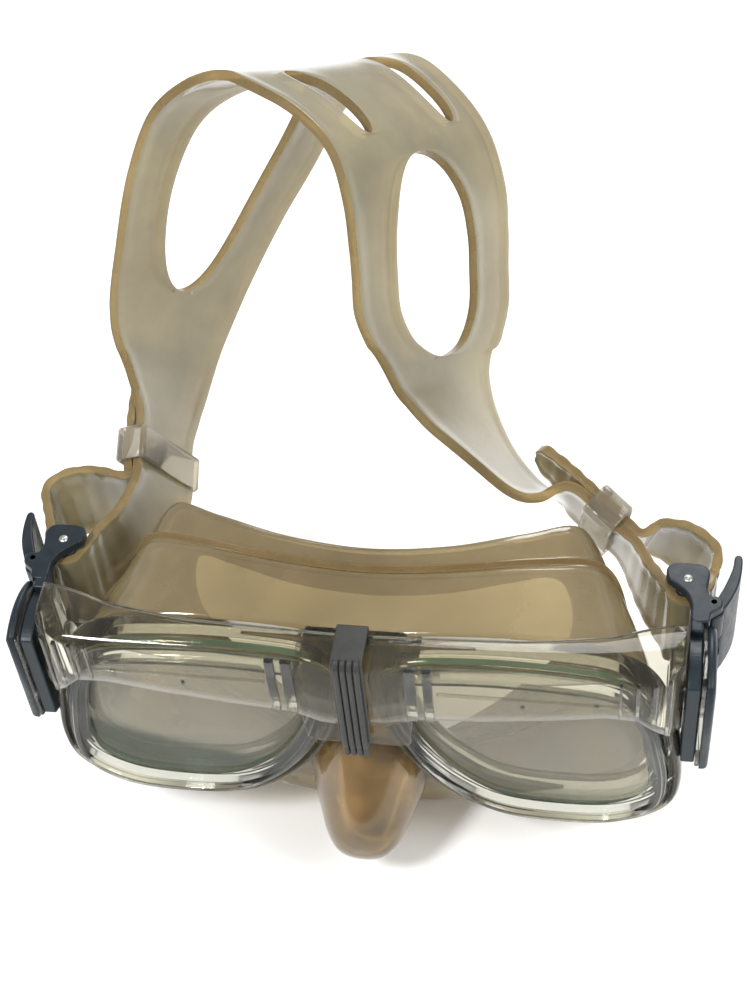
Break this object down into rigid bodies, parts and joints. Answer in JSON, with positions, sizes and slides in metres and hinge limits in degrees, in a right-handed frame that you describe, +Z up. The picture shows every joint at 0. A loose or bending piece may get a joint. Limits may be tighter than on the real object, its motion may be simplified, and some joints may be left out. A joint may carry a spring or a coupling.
{
  "type": "snorkel mask",
  "caption": "Diving and snorkel mask with a clear frame, flat glass lenses, a silicone skirt with a nose pocket, a split strap and swivel buckles.",
  "frame": {"origin": "middle of the face seal, between the eyes and 40 mm behind the glass", "axes": "-Y is forward through the lenses, +Z is up to the forehead, +X is to the right as seen from in front"},
  "size_m": [0.18, 0.1784, 0.1673],
  "materials": {
    "frame_plastic": "clear",
    "lens_glass": "polished",
    "clip_plastic": "satin",
    "skirt_silicone": "satin",
    "strap_silicone": "satin",
    "keeper_plastic": "clear",
    "buckle_plastic": "satin",
    "lever_plastic": "satin",
    "window_plastic": "clear",
    "pin_steel": "brushed"
  },
  "bodies": {
    "mask": {"main_frame": "frame_plastic", "lens_ring_left": "frame_plastic", "lens_ring_right": "frame_plastic", "lens_left": "lens_glass", "lens_right": "lens_glass", "bridge_clip": "clip_plastic", "skirt": "skirt_silicone", "pivot_pin_left": "pin_steel", "pivot_pin_right": "pin_steel"},
    "strap": {"head_strap": "strap_silicone"},
    "buckle_left": {"buckle_body_left": "buckle_plastic", "buckle_cover_left": "buckle_plastic", "buckle_window_left": "window_plastic", "roller_pin_left": "pin_steel", "lever_pin_left": "pin_steel", "lever_spring_left": "pin_steel"},
    "lever_left": {"release_lever_left": "lever_plastic"},
    "roller_left": {"strap_roller_left": "buckle_plastic"},
    "keeper_left": {"keeper_left": "keeper_plastic"},
    "buckle_right": {"buckle_body_right": "buckle_plastic", "buckle_cover_right": "buckle_plastic", "buckle_window_right": "window_plastic", "roller_pin_right": "pin_steel", "lever_pin_right": "pin_steel", "lever_spring_right": "pin_steel"},
    "lever_right": {"release_lever_right": "lever_plastic"},
    "roller_right": {"strap_roller_right": "buckle_plastic"},
    "keeper_right": {"keeper_right": "keeper_plastic"}
  },
  "joints": [
    {"name": "strap_swing", "type": "hinge", "parent": "mask", "child": "strap", "pos_m": [0, -0.0335, 0.0195], "axis": [1, 0, 0], "range_deg": [-12, 14]},
    {"name": "buckle_swivel_left", "type": "hinge", "parent": "mask", "child": "buckle_left", "pos_m": [-0.079, -0.0335, 0.0195], "axis": [1, 0, 0], "range_deg": [-12, 14]},
    {"name": "release_lever_left", "type": "hinge", "parent": "buckle_left", "child": "lever_left", "pos_m": [-0.0832, -0.0186, 0.0225], "axis": [0, 0, -1], "range_deg": [0, 6], "stiffness_Nm_per_rad": 0.12, "springref_deg": -5.73},
    {"name": "roller_spin_left", "type": "hinge", "parent": "buckle_left", "child": "roller_left", "pos_m": [-0.077, -0.012, 0.0225], "axis": [0, 0, 1], "continuous": true},
    {"name": "keeper_slide_left", "type": "slide", "parent": "strap", "child": "keeper_left", "axis": [-0.0819, 0.9361, 0.342], "range_m": [-0.0015, 0.0015]},
    {"name": "buckle_swivel_right", "type": "hinge", "parent": "mask", "child": "buckle_right", "pos_m": [0.079, -0.0335, 0.0195], "axis": [1, 0, 0], "range_deg": [-12, 14]},
    {"name": "release_lever_right", "type": "hinge", "parent": "buckle_right", "child": "lever_right", "pos_m": [0.0832, -0.0186, 0.0225], "axis": [0, 0, 1], "range_deg": [0, 6], "stiffness_Nm_per_rad": 0.12, "springref_deg": -5.73},
    {"name": "roller_spin_right", "type": "hinge", "parent": "buckle_right", "child": "roller_right", "pos_m": [0.077, -0.012, 0.0225], "axis": [0, 0, 1], "continuous": true},
    {"name": "keeper_slide_right", "type": "slide", "parent": "strap", "child": "keeper_right", "axis": [0.7697, -0.539, -0.342], "range_m": [-0.0015, 0.0015]}
  ],
  "couplings": [
    {"joint": "buckle_swivel_left", "follows": "strap_swing", "ratio": 1},
    {"joint": "buckle_swivel_right", "follows": "strap_swing", "ratio": 1}
  ]
}
